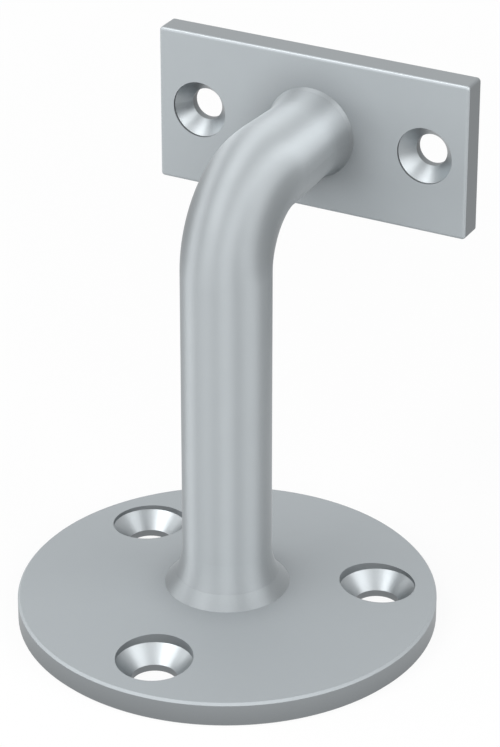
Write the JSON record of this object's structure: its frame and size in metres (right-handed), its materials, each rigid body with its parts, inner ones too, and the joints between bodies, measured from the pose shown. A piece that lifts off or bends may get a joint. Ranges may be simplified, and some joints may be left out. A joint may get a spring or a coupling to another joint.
{
  "type": "handrail bracket",
  "caption": "Handrail bracket: round screw-on wall flange, bent solid round arm with flared ends and a rectangular plate that is screwed to the side of a flat handrail.",
  "frame": {"origin": "centre of the round flange's wall side", "axes": "+Z away from the wall along the arm's first stretch, +Y from the arm towards the rail plate's rail side, X along the rail"},
  "size_m": [0.066, 0.066, 0.0843],
  "materials": {
    "satin_metal": "satin"
  },
  "bodies": {
    "root": {"base_flange": "satin_metal", "arm": "satin_metal", "rail_plate": "satin_metal"}
  },
  "joints": []
}
